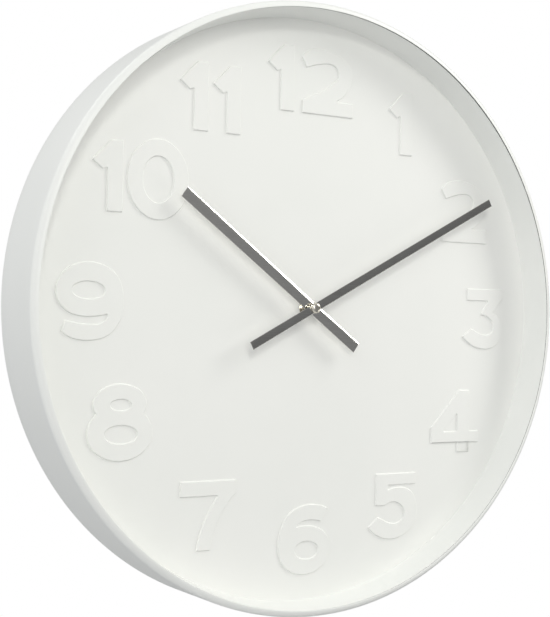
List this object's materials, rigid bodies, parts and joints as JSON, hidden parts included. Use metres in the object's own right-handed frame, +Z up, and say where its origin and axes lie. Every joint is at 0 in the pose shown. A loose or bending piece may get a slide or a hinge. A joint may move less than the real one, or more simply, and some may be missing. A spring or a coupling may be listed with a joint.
{
  "type": "wall clock",
  "caption": "Round white wall clock with a deep rim, a recessed dial with raised numerals, two polished bar hands and a battery quartz movement.",
  "frame": {"origin": "on the wall plane that the back of the rim lies on, at the clock's axis", "axes": "+Z up through twelve, +Y into the wall, the dial faces -Y, +X towards three"},
  "size_m": [0.51, 0.067, 0.51],
  "materials": {
    "rim_paint": "smooth satin white enamel",
    "dial_paint": "matt white enamel on pressed aluminium sheet",
    "cover_plastic": "moulded white plastic with a fine grain",
    "zinc_steel": "zinc-plated",
    "hand_metal": "polished, dark grey",
    "plated_brass": "bright nickel plate",
    "gasket_rubber": "matt black",
    "movement_plastic": "moulded black",
    "wheel_plastic": "natural acetal",
    "knob_plastic": "ribbed, light grey",
    "arbor_steel": "turned",
    "motor_iron": "stamped",
    "magnet": "sintered",
    "copper_wire": "enamelled wire",
    "board": "green solder mask",
    "chip": "black resin",
    "crystal_can": "tinned can",
    "battery_wrap": "plain dark wrap",
    "contact_steel": "nickel-plated strip"
  },
  "bodies": {
    "case": {"case_rim": "rim_paint", "dial": "dial_paint", "rear_cover": "cover_plastic", "dial_spacer": "cover_plastic", "rim_brackets": "zinc_steel", "cover_screws": "zinc_steel", "hanger_plate": "zinc_steel", "hanger_rivets": "zinc_steel", "centre_bush": "plated_brass", "dial_washer": "plated_brass", "bush_nut": "plated_brass", "dial_gasket": "gasket_rubber", "movement_case": "movement_plastic", "movement_back": "movement_plastic", "train_plate": "wheel_plastic", "coil_bobbin": "wheel_plastic", "stator": "motor_iron", "coil_core": "motor_iron", "coil_winding": "copper_wire", "circuit_board": "board", "clock_chip": "chip", "quartz_crystal": "crystal_can", "battery": "battery_wrap", "positive_contact": "contact_steel", "negative_contact": "contact_steel"},
    "minute_hand_train": {"minute_arbor": "arbor_steel", "centre_wheel": "wheel_plastic", "minute_hand": "hand_metal", "minute_hand_collet": "plated_brass", "hand_cap": "plated_brass"},
    "hour_hand_train": {"hour_wheel": "wheel_plastic", "hour_hand": "hand_metal", "hour_hand_collet": "plated_brass"},
    "minute_wheel": {"minute_wheel": "wheel_plastic"},
    "set_knob": {"set_knob": "knob_plastic"},
    "third_wheel": {"third_wheel": "wheel_plastic"},
    "second_wheel": {"second_wheel": "wheel_plastic"},
    "intermediate_wheel": {"intermediate_wheel": "wheel_plastic"},
    "rotor": {"rotor": "wheel_plastic", "rotor_magnet": "magnet"}
  },
  "joints": [
    {"name": "minute_spin", "type": "hinge", "parent": "case", "child": "minute_hand_train", "pos_m": [0, -0.039, 0], "axis": [0, 1, 0], "continuous": true},
    {"name": "hour_spin", "type": "hinge", "parent": "case", "child": "hour_hand_train", "pos_m": [0, -0.039, 0], "axis": [0, 1, 0], "continuous": true},
    {"name": "minute_wheel_spin", "type": "hinge", "parent": "case", "child": "minute_wheel", "pos_m": [0.0048, -0.032, 0.00831], "axis": [0, 1, 0], "continuous": true},
    {"name": "knob_spin", "type": "hinge", "parent": "case", "child": "set_knob", "pos_m": [0.01382, -0.018, 0.0116], "axis": [0, 1, 0], "continuous": true},
    {"name": "third_wheel_spin", "type": "hinge", "parent": "case", "child": "third_wheel", "pos_m": [-0.00694, -0.028, 0.00827], "axis": [0, 1, 0], "continuous": true},
    {"name": "second_wheel_spin", "type": "hinge", "parent": "case", "child": "second_wheel", "pos_m": [-0.01632, -0.026, 0.00993], "axis": [0, 1, 0], "continuous": true},
    {"name": "intermediate_spin", "type": "hinge", "parent": "case", "child": "intermediate_wheel", "pos_m": [-0.01708, -0.024, 0.01864], "axis": [0, 1, 0], "continuous": true},
    {"name": "rotor_spin", "type": "hinge", "parent": "case", "child": "rotor", "pos_m": [-0.01186, -0.024, 0.02004], "axis": [0, 1, 0], "continuous": true}
  ],
  "couplings": [
    {"joint": "hour_spin", "follows": "minute_spin", "ratio": 0.083333},
    {"joint": "minute_wheel_spin", "follows": "minute_spin", "ratio": -0.33333},
    {"joint": "knob_spin", "follows": "minute_spin", "ratio": 1},
    {"joint": "third_wheel_spin", "follows": "minute_spin", "ratio": -8},
    {"joint": "second_wheel_spin", "follows": "minute_spin", "ratio": 60},
    {"joint": "intermediate_spin", "follows": "minute_spin", "ratio": -360},
    {"joint": "rotor_spin", "follows": "minute_spin", "ratio": 1800}
  ]
}
